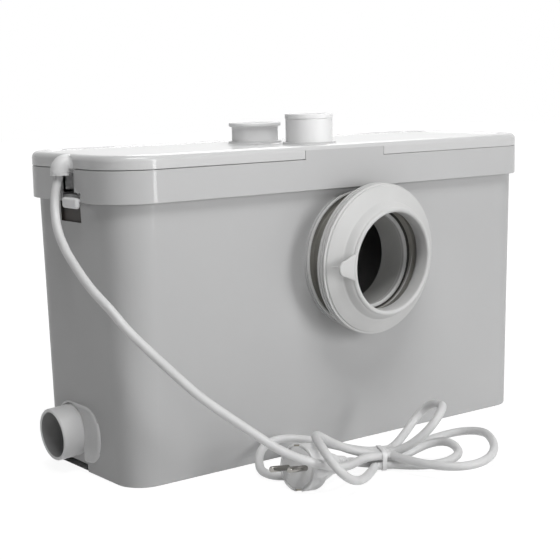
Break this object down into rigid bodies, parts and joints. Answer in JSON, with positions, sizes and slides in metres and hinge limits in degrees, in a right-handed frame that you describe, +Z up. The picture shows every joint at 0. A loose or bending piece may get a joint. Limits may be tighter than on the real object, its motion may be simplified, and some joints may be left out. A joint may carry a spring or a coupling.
{
  "type": "macerator toilet pump",
  "caption": "Box-shaped macerating pump for a toilet: drafted tank, skirted lid, rubber toilet sleeve, waste inlet, vent and discharge spigots, tied mains cord with plug.",
  "frame": {"origin": "on the floor at the middle of the tank's footprint", "axes": "+Z up, -Y out of the front face with the toilet sleeve, -X out of the end with the waste spigot and the cord"},
  "size_m": [0.479, 0.3011, 0.2866],
  "materials": {
    "white_plastic": "satin moulded",
    "white_rubber": "soft matt",
    "grey_plastic": "satin moulded",
    "black_rubber": "matt",
    "filter_foam": "open foam",
    "pump_plastic": "glass-filled",
    "steel": "ground",
    "laminations": "stacked sheet",
    "copper": "enamelled wire",
    "aluminium": "satin",
    "white_nylon": "smooth",
    "switch_plastic": "moulded",
    "terminal_plastic": "moulded",
    "cord_plastic": "smooth sheath",
    "tie_plastic": "smooth",
    "contact_brass": "plated"
  },
  "bodies": {
    "frame": {"tank": "white_plastic", "upper_casing": "white_plastic", "top_cover": "white_plastic", "cord_clip": "white_plastic", "toilet_sleeve": "white_rubber", "cord_hood": "white_rubber", "side_spigot": "grey_plastic", "vent_spigot": "grey_plastic", "discharge_spigot": "grey_plastic", "valve_body": "grey_plastic", "riser_pipe": "grey_plastic", "level_tube": "grey_plastic", "switch_base": "grey_plastic", "diaphragm_cover": "grey_plastic", "vent_grille": "grey_plastic", "lid_seal": "black_rubber", "side_seal": "black_rubber", "shaft_seal": "black_rubber", "diaphragm": "black_rubber", "vent_filter": "filter_foam", "volute": "pump_plastic", "pump_cover": "pump_plastic", "strainer_ring": "steel", "side_flap_pin": "steel", "discharge_flap_pin": "steel", "motor_screws": "steel", "deck_screws": "steel", "bearing_lower": "steel", "bearing_upper": "steel", "plug_pins": "steel", "stator": "laminations", "stator_windings": "copper", "motor_housing": "aluminium", "motor_end_cap": "aluminium", "capacitor": "aluminium", "microswitch": "switch_plastic", "terminal_block": "terminal_plastic", "inner_lead": "cord_plastic", "cord_free": "cord_plastic", "cord_hank": "cord_plastic", "plug_relief": "cord_plastic", "plug_body": "cord_plastic", "cord_tie": "tie_plastic", "plug_contacts": "contact_brass"},
    "rotor": {"shaft": "steel", "rotor_core": "laminations", "cutter_blade": "steel", "impeller": "pump_plastic"},
    "waste_flap": {"side_flap": "black_rubber"},
    "outlet_flap": {"discharge_flap": "black_rubber"},
    "plunger": {"switch_plunger": "white_nylon"},
    "button": {"microswitch_button": "switch_plastic"}
  },
  "joints": [
    {"name": "rotor_spin", "type": "hinge", "parent": "frame", "child": "rotor", "pos_m": [-0.098, 0, 0.1], "axis": [0, 0, 1], "continuous": true},
    {"name": "waste_flap_swing", "type": "hinge", "parent": "frame", "child": "waste_flap", "pos_m": [-0.20143, 0.02, 0.059], "axis": [0, -1, 0], "range_deg": [0, 50]},
    {"name": "outlet_flap_swing", "type": "hinge", "parent": "frame", "child": "outlet_flap", "pos_m": [-0.03, 0.028, 0.2393], "axis": [-1, 0, 0], "range_deg": [0, 50]},
    {"name": "plunger_lift", "type": "slide", "parent": "frame", "child": "plunger", "axis": [0, 0, 1], "range_m": [0, 0.0015], "stiffness_N_per_m": 150},
    {"name": "button_press", "type": "slide", "parent": "frame", "child": "button", "axis": [0, 0, 1], "range_m": [0, 0.0015]}
  ],
  "couplings": [
    {"joint": "button_press", "follows": "plunger_lift", "ratio": 1}
  ]
}
